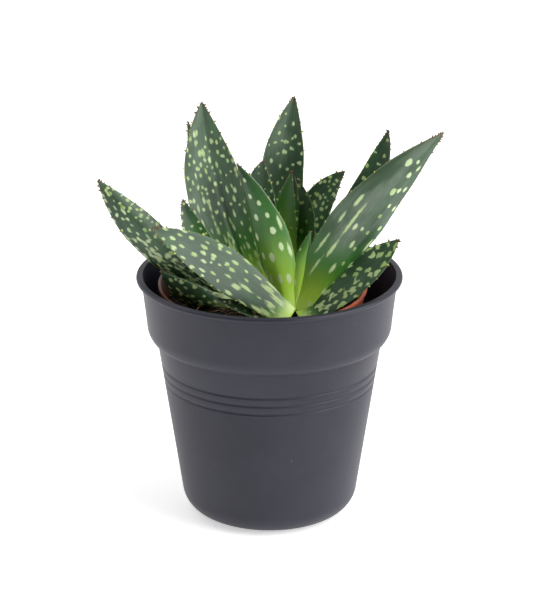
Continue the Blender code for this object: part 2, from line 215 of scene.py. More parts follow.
# outer pot, in millimetres
outerPot = {
    "lipWidth": 2.5,
    "lipThickness": 2.2,
    "wall": 0.9,
    "floor": 2.4,
    "collarDepth": 24,
    "collarDraft": 2.5,
    "shoulderWidth": 4.8,
    "shoulderDrop": 8,
    "bodyDraft": 13.7,
    "baseFillet": 12.9,
    "ringTop": 44.7,
    "ringPitch": 4.4,
    "ringWidth": 1.6,
    "ringDepth": 0.45,
    "rings": 3,
    "drains": 6,
    "firstDrain": -126,
    "channelWidth": 10,
    "channelDepth": 1.1,
    "channelStart": 14,
    "holeRadius": 3.5,
    "holeInset": 8,
    "segments": 176,
    "colour": (0.012, 0.012, 0.023),
    "paler": (0.020, 0.020, 0.034),
    "dust": (0.17, 0.165, 0.155),
    "roughness": 0.40,
}


def outerPlastic():
    material, tree = startMaterial("anthracitePlastic")
    place = tree.add("TexCoord", {}, {}, "Object")
    clouds = place.noise(22, 4, 0.6)
    stipple = place.noise(1400, 2, 0.6)
    flow = place.stretched(1, 1, 0.12).noise(260, 3, 0.5)  # faint marks down the wall from the mould
    colour = clouds.step(0.3, 0.7).mix(outerPot["colour"], outerPot["paler"])
    cells = {"Vector": place, "Scale": 210, "Randomness": 1.0}
    speck = tree.add("TexVoronoi", {}, cells, "Distance")
    chosen = place.noise(75, 1)
    dots = (1 - speck.step(0.05, 0.11)) * chosen.step(0.70, 0.73)
    colour = (dots * 0.8).mix(colour, outerPot["dust"])
    scuff = place.stretched(1, 1, 5).noise(90, 5, 0.7).step(0.62, 0.86)
    colour = (scuff * 0.25).mix(colour, outerPot["dust"])
    roughness = outerPot["roughness"] + 0.12 * clouds + 0.14 * scuff
    height = stipple * 0.5 + flow * 0.5
    setSurface(material, colour, roughness, height, (0.22, 0.00012), Specular_IOR_Level=0.38)
    return material


def makeOuterPot():
    low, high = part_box("outer_pot")
    size = {key: value * mm for key, value in outerPot.items() if isinstance(value, (int, float))}
    rim, top = (high[0] - low[0]) / 2, high[2]
    half = size["lipThickness"] / 2
    collarTop = rim - size["lipWidth"]
    collarLow = collarTop - size["collarDraft"]
    step = collarLow - size["shoulderWidth"]
    collarFoot = top - size["collarDepth"]
    stepHeight = collarFoot - size["shoulderDrop"]
    slope = size["bodyDraft"] / stepHeight
    fillet = size["baseFillet"]
    flat = step - size["bodyDraft"] + slope * fillet - fillet * math.hypot(1, slope)
    shoulder = arc(step, collarFoot, size["shoulderWidth"], size["shoulderDrop"], 0, -76, 14)
    grooves = []
    for ring in range(outerPot["rings"]):
        middle = top - size["ringTop"] - ring * size["ringPitch"]
        for share in (0.7, 0.5, 0.3, 0.15, 0, -0.15, -0.3, -0.5, -0.7):
            height = middle + share * size["ringWidth"]
            depth = 0.5 + 0.5 * math.cos(min(abs(share) / 0.7, 1) * math.pi)
            grooves.append((step - (stepHeight - height) * slope - depth * size["ringDepth"], height))
    base = arc(flat, fillet, fillet, fillet, -math.degrees(math.atan(slope)), -90, 16)
    collar = [(collarTop, top - size["lipThickness"])]
    outside = blendLine(collar + shoulder[:1], 0.1 * mm) + shoulder[1:]
    outside += [(step, stepHeight)] + grooves + base
    wall = []
    for index, (radius, height) in enumerate(outside):
        before, after = outside[max(index - 1, 0)], outside[min(index + 1, len(outside) - 1)]
        along = Vector((after[0] - before[0], after[1] - before[1])).normalized()
        if (radius, height) not in grooves:  # the grooves don't show inside
            wall.append((radius + along.y * size["wall"], height - along.x * size["wall"]))
    wall = [point for point in wall if point[1] > size["floor"]][1:]
    inRim = collarTop - size["wall"]
    lipTurn = arc(rim - half, top - half, half, half, 90, -90, 12)
    lipRoot = (collarTop + 0.4 * mm, top - size["lipThickness"] - 0.05 * mm)
    inLip = [(inRim, top - half), (inRim + 0.25 * mm, top - 0.12 * mm), (inRim + 0.7 * mm, top)]
    profile = [(0, size["floor"]), (wall[-1][0] - 1.5 * mm, size["floor"])]
    profile += wall[::-1] + inLip + lipTurn + [lipRoot] + outside + [(0, 0)]
    mesh = turned("outerPotShell", profile, outerPot["segments"])
    pot = addPiece("outer_pot_shell", mesh, outerPlastic(), ["outer_pot"])
    cutDrains(pot, flat, fillet, size)
    return pot


def cutDrains(pot, flat, fillet, size):
    # channels under the floor, open at the pot's edge, each with a hole into the pot
    reach = flat + fillet - size["channelStart"]
    middle = Matrix.Translation((size["channelStart"] + reach / 2, 0, 0))
    scale = Matrix.Diagonal((reach, size["channelWidth"], 2 * size["channelDepth"], 1))
    hole = Matrix.Translation((flat - size["holeInset"], 0, size["floor"]))
    turns = []
    for index in range(outerPot["drains"]):
        angle = outerPot["firstDrain"] + index * 360 / outerPot["drains"]
        turns.append(Matrix.Rotation(math.radians(angle), 4, "Z"))
    channels = bmesh.new()
    for turn in turns:
        bmesh.ops.create_cube(channels, size=1, matrix=turn @ middle @ scale)
    cutOut(pot, "channels", channels)
    cutHoles(pot, size["holeRadius"], 3 * size["floor"], [turn @ hole for turn in turns], 32)
    pot.data.set_sharp_from_angle(angle=math.radians(40))


def cutHoles(pot, radius, depth, places, segments):
    holes = bmesh.new()
    for place in places:
        bmesh.ops.create_cone(holes, cap_ends=True, segments=segments, radius1=radius, radius2=radius,
                              depth=depth, matrix=place)
    cutOut(pot, "holes", holes)


def cutOut(pot, name, shape):
    # takes a bmesh out of the pot, and frees it
    mesh = bpy.data.meshes.new(name)
    shape.to_mesh(mesh)
    shape.free()
    cutter = bpy.data.objects.new(name, mesh)
    bpy.context.scene.collection.objects.link(cutter)
    difference = pot.modifiers.new("cut", "BOOLEAN")
    difference.operation = "DIFFERENCE"
    difference.object = cutter
    bpy.context.view_layer.update()
    made = bpy.data.meshes.new_from_object(pot.evaluated_get(bpy.context.evaluated_depsgraph_get()))
    pot.modifiers.clear()
    pot.data = made
    bpy.data.objects.remove(cutter, do_unlink=True)


# thin nursery pot that stands loose in the outer one
innerPot = {
    "rimDrop": 4.8,
    "rimGap": 11.1,
    "baseGap": 8,
    "wall": 0.8,
    "floor": 1.2,
    "beadWidth": 0.7,
    "beadHeight": 1.6,
    "fillet": 3,
    "sideShift": -3.3,
    "leanSideways": 0.5,
    "leanForward": 2.5,
    "clear": 0.3,
    "holes": 6,
    "holeRadius": 3,
    "holeInset": 9,
    "segments": 144,
    "colour": (0.66, 0.13, 0.05),
    "worn": (0.50, 0.13, 0.07),
    # dark colour for real soil grime and for painted shade on the pot's left side
    "shadeAndSoil": (0.05, 0.026, 0.018),
}


def innerSizes():
    # the inner pot's place and main sizes, worked out as the frame has them
    low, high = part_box("outer_pot")
    rim, top = (high[0] - low[0]) / 2, high[2]
    inRim = rim - (outerPot["lipWidth"] + outerPot["wall"]) * mm
    step = rim - (outerPot["lipWidth"] + outerPot["collarDraft"] + outerPot["shoulderWidth"]) * mm
    sideways, forward = math.radians(innerPot["leanSideways"]), math.radians(innerPot["leanForward"])
    rimRadius = inRim - innerPot["rimGap"] * mm
    baseRadius = step - (outerPot["bodyDraft"] + outerPot["wall"] + innerPot["baseGap"]) * mm
    lean = math.hypot(sideways, forward)
    baseHeight = (outerPot["floor"] + innerPot["clear"]) * mm + baseRadius * math.sin(lean)
    height = top - innerPot["rimDrop"] * mm - baseHeight
    place = (innerPot["sideShift"] * mm - height * math.sin(sideways), height * math.sin(forward), baseHeight)
    stand = Matrix.Translation(place) @ Euler((forward, sideways, 0)).to_matrix().to_4x4()
    return {"rim": rimRadius, "base": baseRadius, "height": height, "stand": stand}


def innerPlastic():
    material, tree = startMaterial("terracottaPlastic")
    place = tree.add("TexCoord", {}, {}, "Object")
    clouds = place.noise(45, 4, 0.6)
    colour = clouds.step(0.3, 0.75).mix(innerPot["colour"], innerPot["worn"])
    grime = place.noise(130, 6, 0.72).step(0.50, 0.72)
    lessShade = place.add("SeparateXYZ", {}, {"Vector": place}, "X").step(-0.03, 0.02)  # less painted shade to the right, where the light falls
    # painted shade: the pot's left side is mixed far towards the dark colour, and random grime adds to it
    colour = (0.9 - 0.65 * lessShade + 0.3 * grime).clamped().mix(colour, innerPot["shadeAndSoil"])
    roughness = 0.42 + 0.3 * grime
    height = place.noise(900, 2)
    setSurface(material, colour, roughness, height, (0.2, 0.0001))
    return material


def makeInnerPot(inner):
    wall, bead = innerPot["wall"] * mm, inner["rim"] + innerPot["beadWidth"] * mm
    height, fillet = inner["height"], innerPot["fillet"] * mm
    beadLow = height - innerPot["beadHeight"] * mm

    def side(level):
        return inner["base"] + (inner["rim"] - inner["base"]) * level / height

    inside = [(inner["base"] - fillet, innerPot["floor"] * mm), (side(fillet) - wall, fillet)]
    inside += [(side(height * share) - wall, height * share) for share in (0.25, 0.5, 0.75, 0.9)]
    inside += [(inner["rim"] - wall, height - 0.3 * mm), (inner["rim"] - 0.6 * wall, height)]
    outside = [(bead - 0.25 * mm, height), (bead, height - 0.3 * mm), (bead, beadLow + 0.2 * mm),
               (bead - 0.25 * mm, beadLow), (side(beadLow), beadLow - 0.3 * mm)]
    outside += [(side(height * share), height * share) for share in (0.75, 0.5, 0.25)]
    outside += arc(side(fillet) - fillet, fillet, fillet, fillet, 0, -90, 8)
    profile = [(0, innerPot["floor"] * mm)] + inside + outside + [(0, 0)]
    mesh = turned("innerPotShell", profile, innerPot["segments"])
    mesh.transform(inner["stand"])
    pot = addPiece("inner_pot_shell", mesh, innerPlastic(), ["inner_pot"])
    places = []
    for index in range(innerPot["holes"]):
        angle = index * math.tau / innerPot["holes"]
        radius = inner["base"] - innerPot["holeInset"] * mm
        spot = Matrix.Translation((radius * math.cos(angle), radius * math.sin(angle), 0))
        places.append(inner["stand"] @ spot)
    cutHoles(pot, innerPot["holeRadius"] * mm, 5 * innerPot["floor"] * mm, places, 24)
    pot.data.set_sharp_from_angle(angle=math.radians(50))


soil = {
    "belowRim": 11.6,
    "crown": 1.5,
    "clear": 0.3,
    "rings": 70,
    "around": 220,
    "lumps": 1500,
    "lumpSize": (0.5, 1.9),
    "fibres": 170,
    "fibreLength": (4, 17),
    "fibreRadius": (0.10, 0.26),
    "fibreSteps": 9,
    "dark": (0.004, 0.003, 0.002),
    "brown": (0.024, 0.013, 0.008),
    "dryBrown": (0.075, 0.042, 0.023),
    "fibre": (0.20, 0.085, 0.040),
    "straw": (0.36, 0.22, 0.09),
    "seed": 11,
}


def soilLevel(x, y, inner):
    # height of the soil's surface in the inner pot's own frame
    edge = inner["soilRadius"]
    share = min(math.hypot(x, y) / edge, 1)
    base = inner["soilTop"] + soil["crown"] * mm * (1 - share**2)
    rough = noise.fractal(Vector((x, y, 0.3)) / (7 * mm), 0.9, 2.2, 4) * 0.9 * mm
    return base + rough * (1 - share**8) - 0.5 * mm


def peat():
    material, tree = startMaterial("peat")
    place = tree.add("TexCoord", {}, {}, "Object")
    crumbs = place.noise(420, 5, 0.7)
    patches = place.noise(70, 3, 0.6)
    colour = crumbs.step(0.38, 0.68).mix(soil["dark"], soil["brown"])
    colour = (patches.step(0.5, 0.75) * crumbs.step(0.5, 0.62) * 0.7).mix(colour, soil["dryBrown"])
    height = crumbs * 0.7 + place.noise(1500, 3, 0.6) * 0.3
    setSurface(material, colour, 0.92, height, (0.9, 0.0006), Specular_IOR_Level=0.2)
    return material


def fibreFinish():
    material, tree = startMaterial("peatFibre")
    place = tree.add("TexCoord", {}, {}, "Object")
    tone = tree.add("Attribute", {"attribute_name": "tone"}, {}, "Fac")
    streaks = place.noise(600, 4, 0.7)
    colour = tone.mix(soil["fibre"], soil["straw"])
    colour = (streaks.step(0.45, 0.75) * 0.6).mix(colour, soil["brown"])
    setSurface(material, colour, 0.8, streaks, (0.5, 0.0001))
    return material


def makeSoil(inner):
    wall, height = innerPot["wall"] * mm, inner["height"]

    def side(level):
        return inner["base"] + (inner["rim"] - inner["base"]) * level / height - wall - soil["clear"] * mm

    inner["soilTop"] = height - soil["belowRim"] * mm
    inner["soilRadius"] = side(inner["soilTop"])
    floor = (innerPot["floor"] + soil["clear"]) * mm
    corner = (innerPot["fillet"] + soil["clear"]) * mm
    levels = [(0, floor), (inner["base"] - corner, floor), (side(corner), corner)]
    levels += [(side(inner["soilTop"] * share), inner["soilTop"] * share) for share in (0.25, 0.5, 0.75)]
    levels += [(side(inner["soilTop"] - 1.5 * mm), inner["soilTop"] - 1.5 * mm)]
    rings = soil["rings"]
    levels += [(inner["soilRadius"] * (1 - index / rings), inner["soilTop"]) for index in range(rings + 1)]
    mesh = turned("soilBall", levels, soil["around"])
    for vert in mesh.vertices:
        if vert.co.z > inner["soilTop"] - 0.1 * mm:
            vert.co.z = soilLevel(vert.co.x, vert.co.y, inner)
    mesh.transform(inner["stand"])
    return addPiece("soil_ball", mesh, peat(), ["soil"])


def makeLumps(inner):
    # loose crumbs of peat, each an uneven pebble half sunk in the surface
    chance = random.Random(soil["seed"])
    shape = bmesh.new()
    for lump in range(soil["lumps"]):
        reach = (inner["soilRadius"] - 1.6 * mm) * math.sqrt(chance.random())
        angle = chance.uniform(0, math.tau)
        x, y = reach * math.cos(angle), reach * math.sin(angle)
        size = chance.uniform(*soil["lumpSize"]) * mm * chance.choice((0.5, 0.7, 1)) / 2
        centre = Vector((x, y, soilLevel(x, y, inner) + 0.25 * size))
        turn = Euler([chance.uniform(0, math.tau) for axis in range(3)]).to_matrix().to_4x4()
        flat = Matrix.Diagonal((1, chance.uniform(0.6, 1), chance.uniform(0.45, 0.8), 1))
        place = Matrix.Translation(centre) @ turn @ flat
        made = bmesh.ops.create_icosphere(shape, subdivisions=1, radius=size, matrix=place)
        for vert in made["verts"]:
            vert.co += (vert.co - centre) * chance.uniform(-0.22, 0.22)
    mesh = bpy.data.meshes.new("soilLumps")
    shape.to_mesh(mesh)
    shape.free()
    mesh.transform(inner["stand"])
    return addPiece("soil_crumbs", mesh, bpy.data.materials["peat"], ())


def tube(points, radii, sides=5):
    # vertices and faces of a closed tube along points
    verts, faces = [], []
    for index, (point, radius) in enumerate(zip(points, radii)):
        before, after = points[max(index - 1, 0)], points[min(index + 1, len(points) - 1)]
        along = (after - before).normalized()
        first = along.orthogonal().normalized()
        second = along.cross(first)
        for side in range(sides):
            angle = math.tau * side / sides
            verts.append(point + (first * math.cos(angle) + second * math.sin(angle)) * radius)
        if index:
            low = (index - 1) * sides
            for side in range(sides):
                after = (side + 1) % sides
                faces.append((low + side, low + after, low + sides + after, low + sides + side))
    faces.append(tuple(range(sides))[::-1])
    faces.append(tuple(range(len(verts) - sides, len(verts))))
    return verts, faces


def makeFibres(inner):
    # coir and root threads that lie on the soil, and a few that lift off it
    chance = random.Random(soil["seed"] + 1)
    verts, faces, tones = [], [], []
    for index in range(soil["fibres"]):
        reach = (inner["soilRadius"] - 3 * mm) * math.sqrt(chance.random())
        angle = chance.uniform(0, math.tau)
        x, y = reach * math.cos(angle), reach * math.sin(angle)
        heading = chance.uniform(0, math.tau)
        length = chance.uniform(*soil["fibreLength"]) * mm
        radius = chance.uniform(*soil["fibreRadius"]) * mm
        lift = chance.uniform(0, 1) ** 4 * 0.9
        points = []
        count = soil["fibreSteps"]
        rise = 0
        for step in range(count):
            points.append(Vector((x, y, soilLevel(x, y, inner) + rise + 0.8 * radius)))
            heading += chance.uniform(-0.45, 0.45)
            x += math.cos(heading) * length / count
            y += math.sin(heading) * length / count
            rise += lift * length / count * math.cos(step / count * math.pi)
            if math.hypot(x, y) > inner["soilRadius"] - 1 * mm:
                heading += math.pi / 2
                x *= 0.97
                y *= 0.97
        radii = [radius * (1 - 0.5 * abs(2 * step / (count - 1) - 1)) for step in range(count)]
        more, sides = tube(points, radii)
        faces += [tuple(corner + len(verts) for corner in face) for face in sides]
        verts += more
        tones += [chance.random() ** 2] * len(more)
    mesh = bpy.data.meshes.new("soilFibres")
    mesh.from_pydata(verts, [], faces)
    setValues(mesh, "tone", tones)
    mesh.transform(inner["stand"])
    return addPiece("soil_fibres", mesh, fibreFinish(), ())


# root, bend and tip are in millimetres from the plant's foot. spots is how many there are to a square
# centimetre, spotSize their half width, stretch how long they are for their width, white how pale they
# are, uneven how ragged, streak where across they turn long and pale, and lastSpot where they end. green
# is how far the young colour reaches, bloom how much of the grey haze there is, partly the leaf's
# own waxy coat and partly a painted sheen where light falls on it, and hazeAndSheenSide where across it lies.
# keel (where across, how sharp) is a ridge on the underside, thorns are where along it they stand,
# and crease (where across, how deep) is a fold in the upper side.
leaves = {
    "heart_leaf": dict(
        plant="front_plant", root=(2, -4, 5), bend=(5, -7, 27), tip=(10, -4, 43), width=11, thickness=4.0,
        clasp=0.75, widest=0.30, taper=1.5, cup=0.25, faces=(-0.2, 1.0, 0.2),
        green=1.5, spots=1.4, spotSize=0.7, white=0.8),
    "front_leaf": dict(
        plant="front_plant", root=(-1, -4, 3), bend=(-7, -10, 46), tip=(-26, 3, 75), width=18, thickness=6.0,
        clasp=0.65, widest=0.45, taper=1.7, cup=0.15, faces=(0.2, 1.0, 0.3),
        green=0.95, spots=2.2, spotSize=0.95, stretch=1.9, white=0.85, bloom=0.1),
    "right_leaf_large": dict(
        plant="front_plant", root=(4, -4, 3), bend=(34, -9, 56.5), tip=(74, 4, 90), width=27, thickness=7.0,
        clasp=0.60, widest=0.40, taper=1.8, cup=0.20, faces=(-0.3, 1.0, 0.0),
        green=0.42, spots=1.9, spotSize=0.68, stretch=2.6, white=0.6, bloom=1.3, keel=(-0.4, 1.0),
        thorns=(0.27, 0.35, 0.44, 0.53), hazeAndSheenSide=0.35, streak=0.1),
    "left_leaf_forward": dict(
        plant="front_plant", root=(-1, -13, 1), bend=(-35, -19, 34), tip=(-66, -21, 50),
        width=21, thickness=7.0,
        clasp=0.60, widest=0.45, taper=2.0, cup=0.10, faces=(-0.1, -0.8, 0.7),
        green=0.16, spots=3.8, spotSize=0.68, stretch=3.4, white=0.3, bloom=0.25, hazeAndSheenSide=0.3),
    "right_leaf_low": dict(
        plant="front_plant", root=(4, -8, 0.5), bend=(29, -7, 16.5), tip=(53, 1, 37),
        width=19.5, thickness=5.0,
        clasp=0.75, widest=0.45, taper=2.4, cup=0.10, faces=(-0.2, -0.7, 0.7),
        green=0.2, spots=5.0, spotSize=0.85, stretch=2.2, white=0.3, uneven=1.3, bloom=0.5),
    "front_leaf_low": dict(
        plant="front_plant", root=(-6, -11, 1), bend=(-26, -18, 8), tip=(-37, -18, 14),
        width=8, thickness=3.5,
        clasp=0.70, widest=0.35, taper=1.6, cup=0.20, faces=(0.2, -0.5, 0.8),
        green=0.05, spots=6.0, spotSize=0.55, white=0.7),
    "left_leaf_small": dict(
        plant="left_plant", root=(-1, -4, 4), bend=(-24, -9, 34), tip=(-28, -5, 55), width=13, thickness=4.0,
        clasp=0.70, widest=0.40, taper=2.1, cup=0.25, faces=(0.3, -1.0, 0.2),
        green=0.9, spots=7.0, spotSize=0.55, white=0.6),
    "left_leaf_tall": dict(
        plant="left_plant", root=(7, 0, 3), bend=(-19, 4, 55), tip=(-18.5, 5, 101), width=28.2, thickness=7.0,
        clasp=0.60, widest=0.50, taper=1.9, cup=0.25, faces=(0.2, -1.0, 0.3),
        green=0.42, crease=(0.17, 0.8),
        spots=6.0, spotSize=0.52, stretch=3.2, white=0.35, bloom=0.8, lastSpot=0.83, hazeAndSheenSide=-0.5),
    "left_leaf_behind": dict(
        plant="left_plant", root=(-2, 4, 3), bend=(-19.3, 13, 50), tip=(-25.8, 17, 88),
        width=13, thickness=5.0,
        clasp=0.70, widest=0.40, taper=1.7, cup=0.25, faces=(0.2, -1.0, 0.2),
        green=0.15, spots=7.0, spotSize=0.5, white=0.5),
    "left_leaf_far": dict(
        plant="left_plant", root=(-4, -4, 3), bend=(-43, -5, 26.5), tip=(-69.3, 0, 63),
        width=17.5, thickness=6.0,
        clasp=0.60, widest=0.50, taper=2.4, cup=0.15, faces=(0.1, 1.0, -0.3),
        green=0.05, spots=9.5, spotSize=0.58, stretch=2.6, white=0.5, uneven=0.6, keel=(-0.2, 0.5),
        thorns=(0.62, 0.80, 0.9), streak=-0.2),
    "left_leaf_low": dict(
        plant="left_plant", root=(-5, -6, 1), bend=(-28, -18, 5), tip=(-39, -10, 20), width=14, thickness=5.0,
        clasp=0.70, widest=0.45, taper=1.9, cup=0.20, faces=(0.3, 0.9, 0.1),
        green=0.0, spots=9.0, spotSize=0.5, stretch=2.6, white=0.35, uneven=0.5, bloom=0.0),
    "back_heart_leaf": dict(
        plant="back_plant", root=(-1, -4, 5), bend=(-3, -9, 38), tip=(2, -8, 64), width=14, thickness=4.0,
        clasp=0.75, widest=0.35, taper=1.8, cup=0.30, faces=(-0.3, -0.9, 0.2),
        green=1.3, spots=0.7, spotSize=0.55, white=0.4),
    "back_leaf_folded": dict(
        plant="back_plant", root=(2, -4, 5), bend=(19, -12, 40), tip=(3, -11, 62), width=12, thickness=4.0,
        clasp=0.75, widest=0.40, taper=1.8, cup=0.45, faces=(-0.6, -0.7, 0.3),
        green=0.7, spots=3.0, spotSize=0.75, white=0.1),
    "back_leaf_toothed": dict(
        plant="back_plant", root=(-4, -3, 4), bend=(-20, -6, 45), tip=(-12, -4, 68), width=17, thickness=5.0,
        clasp=0.70, widest=0.50, taper=2.3, cup=0.20, faces=(0.3, -1.0, 0.2),
        green=0.25, spots=5.0, spotSize=0.55, white=0.5),
    "back_leaf_tall": dict(
        plant="back_plant", root=(-2, 2, 3), bend=(-7.2, 8, 51), tip=(3.4, 14, 95.5),
        width=21.5, thickness=6.5,
        clasp=0.60, widest=0.50, taper=2.3, cup=0.25, faces=(0.0, -1.0, 0.25),
        green=0.5, spots=4.2, spotSize=0.58, white=0.5, bloom=0.8, lastSpot=0.9),
    "back_leaf_right": dict(
        plant="back_plant", root=(3, 1, 4), bend=(10, 6, 44), tip=(28.5, 10, 58), width=17, thickness=5.0,
        clasp=0.65, widest=0.48, taper=1.8, cup=0.20, faces=(-0.2, -0.8, 0.5),
        green=0.1, spots=8.5, spotSize=0.55, stretch=2.0, white=0.35),
    "back_leaf_far_right": dict(
        plant="back_plant", root=(5, 2, 3), bend=(45, 4, 48), tip=(49.2, 8, 80), width=14, thickness=5.0,
        clasp=0.65, widest=0.50, taper=2.2, cup=0.25, faces=(-0.3, -0.9, 0.3),
        green=0.1, spots=3.5, spotSize=0.7, white=0.3),
    "rear_leaf_left": dict(
        plant="back_plant", root=(-6, 4, 3), bend=(-22, 20, 24), tip=(-38, 29, 38), width=17, thickness=6.0,
        clasp=0.65, widest=0.40, taper=1.8, cup=0.20, faces=(0.4, -0.4, 0.8),
        green=0.15, spots=4.0, spotSize=0.7, white=0.5),
    "rear_leaf_middle": dict(
        plant="back_plant", root=(0, 6, 3), bend=(-3, 28, 28), tip=(-8, 42, 50), width=18, thickness=6.0,
        clasp=0.65, widest=0.40, taper=1.8, cup=0.20, faces=(0.1, -0.6, 0.8),
        green=0.15, spots=4.0, spotSize=0.75, white=0.5),
    "rear_leaf_right": dict(
        plant="back_plant", root=(6, 5, 3), bend=(22, 18, 24), tip=(40, 24, 35), width=17, thickness=6.0,
        clasp=0.65, widest=0.40, taper=1.8, cup=0.20, faces=(-0.4, -0.4, 0.8),
        green=0.15, spots=4.0, spotSize=0.7, white=0.5),
}

# spots that are placed one by one on the outer face of the two leaves that show most:
# side (-1 to 1), share of the length, half width and half length in millimetres, where
# every half width is then scaled by placedWidth
placedSpots = {
    "front_leaf": (
        (0.1, 0.87, 0.8, 1.1), (0.25, 0.76, 1.0, 1.3), (-0.25, 0.7, 1.1, 1.3), (0.35, 0.62, 1.3, 1.7),
        (-0.4, 0.61, 1.0, 1.3), (-0.8, 0.54, 0.7, 3.5), (-0.35, 0.51, 1.5, 1.9), (0.7, 0.49, 0.9, 2.0),
        (-0.5, 0.4, 1.2, 2.0), (0.7, 0.36, 0.9, 1.9), (-0.85, 0.36, 0.7, 3.2), (0.15, 0.35, 1.6, 2.4),
        (0.7, 0.2, 0.8, 2.2), (0.0, 0.21, 1.4, 2.2), (-0.55, 0.2, 1.2, 2.2), (0.5, 0.14, 0.9, 1.5),
        (0.4, 0.07, 1.0, 1.5), (-0.25, 0.05, 1.3, 1.8),
    ),
    "right_leaf_large": (
        (0.25, 0.79, 1.4, 2.3), (-0.2, 0.82, 0.8, 1.1), (-0.3, 0.75, 1.0, 1.6), (-0.6, 0.8, 0.9, 1.5),
        (-0.2, 0.65, 1.3, 2.0), (-0.4, 0.67, 0.9, 1.5), (-0.7, 0.69, 0.9, 1.6), (-0.5, 0.59, 0.9, 1.2),
        (-0.85, 0.59, 0.9, 1.6), (0.6, 0.53, 0.9, 3.4), (0.3, 0.45, 0.8, 9.0), (0.65, 0.43, 0.7, 3.0),
        (0.1, 0.43, 0.9, 1.9), (-0.15, 0.44, 0.8, 1.1), (-0.2, 0.36, 0.9, 2.0), (0.3, 0.3, 0.9, 4.5),
        (0.7, 0.3, 0.6, 5.0), (0.5, 0.2, 0.6, 4.5), (-0.15, 0.23, 1.0, 2.7), (-0.5, 0.12, 1.1, 1.8),
        (-0.2, 0.05, 0.8, 1.3), (-0.8, 0.48, 1.0, 1.5), (-0.9, 0.38, 1.1, 4.0), (-0.9, 0.26, 0.9, 3.0),
    ),
}

leafMesh = {
    "stationGap": 0.55,
    "sideGap": 0.55,
    "lastStation": 0.994,
    "wobble": 0.35,
    "tries": 7,
    "placedWidth": 0.85,
    "merge": 5.0,  # a lower value runs neighbouring spots together
    "reach": 3.0,  # furthest distance from a spot that is kept
}

skin = {
    "deep": (0.008, 0.042, 0.011),
    "green": (0.022, 0.088, 0.026),
    # grey haze colour: partly the leaves' own waxy coat, partly a painted sheen
    "bloom": (0.112, 0.158, 0.112),
    "fresh": (0.030, 0.150, 0.010),
    "young": (0.430, 0.800, 0.055),
    "youngEdge": (0.620, 0.880, 0.130),
    "spotYellow": (0.330, 0.480, 0.140),
    "spotWhite": (0.640, 0.760, 0.460),
    "margin": (0.270, 0.370, 0.220),
    "base": (0.600, 0.740, 0.260),
    "dryTip": (0.100, 0.050, 0.025),
    "toothYellow": (0.430, 0.500, 0.090),
    "toothBrown": (0.085, 0.030, 0.014),
}


def leafFeet():
    # each plant's foot is the place where its stem's axis meets the soil
    feet = {}
    for plant in ("front_plant", "left_plant", "back_plant"):
        low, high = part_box(plant + "_stem")
        middle = [(low[0] + high[0]) / 2, (low[1] + high[1]) / 2]
        feet[plant] = np.array([*middle, high[2] - stem["aboveSoil"] * mm])
    return feet


def halfWidth(leaf, along):
    before = np.clip(along / leaf["widest"], 0, 1)
    lower = leaf["clasp"] + (1 - leaf["clasp"]) * before**2 * (3 - 2 * before)
    after = np.clip((along - leaf["widest"]) / (1 - leaf["widest"]), 0, 1)
    return leaf["width"] / 2 * mm * np.where(along < leaf["widest"], lower, 1 - after ** leaf["taper"])


def leafLength(leaf):
    along = np.linspace(0, 1, 60)
    points = midrib(leaf, np.zeros(3), along)[0]
    return np.linalg.norm(np.diff(points, axis=0), axis=1).sum()


def unit(vectors):
    return vectors / np.linalg.norm(vectors, axis=-1, keepdims=True)


def midrib(leaf, foot, along):
    root, bend, tip = (np.array(leaf[key]) * mm for key in ("root", "bend", "tip"))
    t = np.asarray(along)[..., None]
    point = foot + (1 - t) ** 2 * root + 2 * t * (1 - t) * bend + t**2 * tip
    direction = unit((1 - t) * (bend - root) + t * (tip - bend))
    across = unit(np.cross(direction, np.array(leaf["faces"], float)))
    return point, direction, across, np.cross(across, direction)


def leafPoint(leaf, foot, along, angle):
    # angle runs over the upper surface from 0, one margin, to pi, the other, and back underneath
    along, angle = np.broadcast_arrays(along, angle)
    point, direction, across, upward = midrib(leaf, foot, along)
    side = np.cos(angle)
    half = halfWidth(leaf, along)
    thick = leaf["thickness"] * mm * (1 - 0.75 * along) * (1 - along**6)
    where, sharp = leaf.get("keel", (0.0, 0.25))
    fromKeel = np.where(side > where, (side - where) / (1 - where), (where - side) / (1 + where))
    domed = np.clip(1 - fromKeel**2, 0, 1) ** 0.8
    belly = domed * (1 - sharp) + (1 - fromKeel) * sharp
    upper = 0.25 * thick * np.clip(1 - side**2, 0, 1) ** 0.8
    place, deep = leaf.get("crease", (0.0, 0.0))
    upper = upper - deep * mm * np.exp(-(((side - place) / 0.09) ** 2)) * np.clip(2.4 * (1 - along), 0, 1)
    rise = leaf["cup"] * half * side**2 + np.where(np.sin(angle) > 0, upper, -0.75 * thick * belly)
    phase = leaf["phase"]
    wave = np.sin(along * 9 + phase) * 0.6 + np.sin(along * 17 + 2.3 * phase) * 0.4
    fade = np.clip(along * 5, 0, 1) * np.clip((1 - along) * 4, 0, 1)
    rise = rise + leafMesh["wobble"] * mm * wave * side * fade
    half = half * (1 + 0.015 * np.sin(along * 23 + phase) * fade)
    return point + across * (half * side)[..., None] + upward * rise[..., None]


